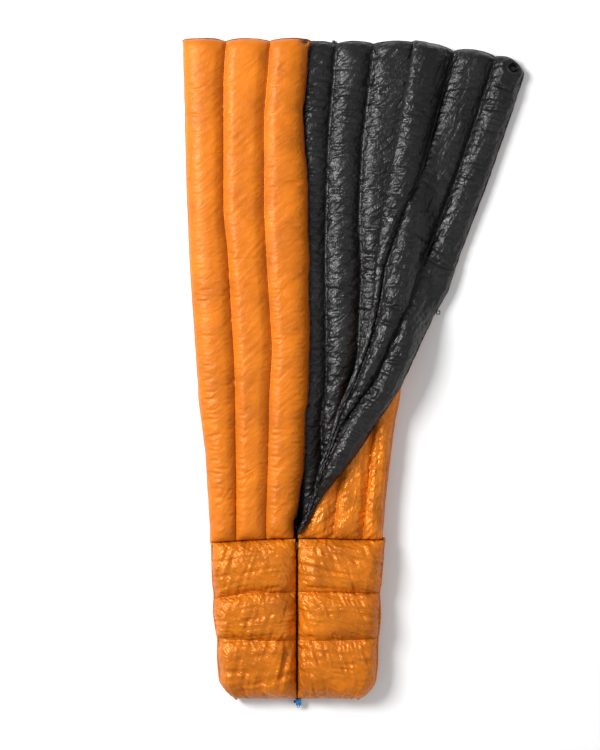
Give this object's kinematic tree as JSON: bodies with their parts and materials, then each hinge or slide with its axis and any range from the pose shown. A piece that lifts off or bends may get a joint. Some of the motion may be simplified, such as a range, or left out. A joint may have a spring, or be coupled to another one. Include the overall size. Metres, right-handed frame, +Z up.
{
  "type": "camp quilt",
  "caption": "Down camp quilt with lengthwise chambers, zipped footbox with drawcord, left flap folded in and right flap rolled back to show the dark lining.",
  "frame": {"origin": "on the floor, at the middle of the laid-out quilt's box without the cord locks and their loops", "axes": "+Y from the foot hem to the head edge, +Z up, +X towards the rolled-back right flap"},
  "size_m": [1.0084, 2.0209, 0.1279],
  "materials": {
    "baffle_fabric": "matte",
    "cord_black": "matte",
    "down_white": "matte",
    "hem_binding": "satin",
    "lining_charcoal": "satin",
    "lock_blue": "gloss",
    "lock_button": "satin",
    "shell_orange": "satin",
    "snap_black": "satin",
    "spring_steel": "satin",
    "webbing_black": "matte",
    "zipper_metal": "satin",
    "zipper_tape": "matte",
    "zipper_teeth": "satin"
  },
  "bodies": {
    "root": {"back_baffle_walls": "baffle_fabric", "back_down_1": "down_white", "back_down_2": "down_white", "back_down_3": "down_white", "back_down_4": "down_white", "back_down_5": "down_white", "back_down_6": "down_white", "back_head_hem": "hem_binding", "back_lining": "lining_charcoal", "back_shell": "shell_orange", "foot_drawcord": "cord_black", "foot_hem": "hem_binding", "foot_loop_cord": "cord_black", "footbox_baffle_walls": "baffle_fabric", "footbox_left_down": "down_white", "footbox_left_lining": "lining_charcoal", "footbox_left_shell": "shell_orange", "footbox_right_down": "down_white", "footbox_right_lining": "lining_charcoal", "footbox_right_shell": "shell_orange", "footbox_under_down": "down_white", "footbox_under_lining": "lining_charcoal", "footbox_under_shell": "shell_orange", "neck_drawcord": "cord_black", "neck_loop_cord": "cord_black", "right_fold_down": "down_white", "right_fold_hem": "hem_binding", "right_fold_lining": "lining_charcoal", "right_fold_shell": "shell_orange", "zipper_tape_left": "zipper_tape", "zipper_tape_right": "zipper_tape", "zipper_teeth_left": "zipper_teeth", "zipper_teeth_right": "zipper_teeth"},
    "left_flap": {"left_flap_baffle_walls": "baffle_fabric", "left_flap_down_1": "down_white", "left_flap_down_2": "down_white", "left_flap_down_3": "down_white", "left_flap_hem": "hem_binding", "left_flap_lining": "lining_charcoal", "left_flap_shell": "shell_orange", "left_neck_snap_socket": "snap_black", "left_pad_loop": "webbing_black"},
    "right_flap": {"right_flap_baffle_walls": "baffle_fabric", "right_flap_down_10": "down_white", "right_flap_down_11": "down_white", "right_flap_down_12": "down_white", "right_flap_hem": "hem_binding", "right_flap_lining": "lining_charcoal", "right_flap_shell": "shell_orange", "right_neck_snap_stud": "snap_black", "right_pad_loop": "webbing_black"},
    "zipper_slider": {"zipper_slider": "zipper_metal"},
    "zipper_pull": {"zipper_pull": "zipper_metal"},
    "foot_cord_lock": {"foot_cord_lock_barrel": "lock_blue", "foot_cord_lock_spring": "spring_steel"},
    "foot_lock_button": {"foot_cord_lock_button": "lock_button"},
    "neck_cord_lock": {"neck_cord_lock_barrel": "snap_black", "neck_cord_lock_spring": "spring_steel"},
    "neck_lock_button": {"neck_cord_lock_button": "snap_black"}
  },
  "joints": [
    {"name": "left_flap_fold", "type": "hinge", "parent": "root", "child": "left_flap", "pos_m": [-0.42073, -0.51175, 0.05], "axis": [0.0565, -0.9984, 0], "range_deg": [0, 180]},
    {"name": "right_flap_fold", "type": "hinge", "parent": "root", "child": "right_flap", "pos_m": [-0.01773, -0.05675, 0.1], "axis": [-0.194, -0.9801, 0.0414], "range_deg": [0, 160]},
    {"name": "zipper_slide", "type": "slide", "parent": "root", "child": "zipper_slider", "axis": [0, -0.9986, -0.0523], "range_m": [0, 0.44]},
    {"name": "zipper_pull_hinge", "type": "hinge", "parent": "zipper_slider", "child": "zipper_pull", "pos_m": [-0.16173, -0.52142, 0.06906], "axis": [-1, 0, 0], "range_deg": [0, 110]},
    {"name": "foot_lock_slide", "type": "slide", "parent": "root", "child": "foot_cord_lock", "axis": [0, -0.9397, -0.342], "range_m": [0, 0.0015]},
    {"name": "foot_lock_button_press", "type": "slide", "parent": "foot_cord_lock", "child": "foot_lock_button", "axis": [1, 0, 0], "range_m": [0, 0.0022], "stiffness_N_per_m": 400, "springref_m": -0.004, "deforming": ["foot_cord_lock_spring"]},
    {"name": "neck_lock_slide", "type": "slide", "parent": "root", "child": "neck_cord_lock", "axis": [1, 0, 0], "range_m": [0, 0.0015]},
    {"name": "neck_lock_button_press", "type": "slide", "parent": "neck_cord_lock", "child": "neck_lock_button", "axis": [0, -1, 0], "range_m": [0, 0.0022], "stiffness_N_per_m": 400, "springref_m": -0.004, "deforming": ["neck_cord_lock_spring"]}
  ]
}
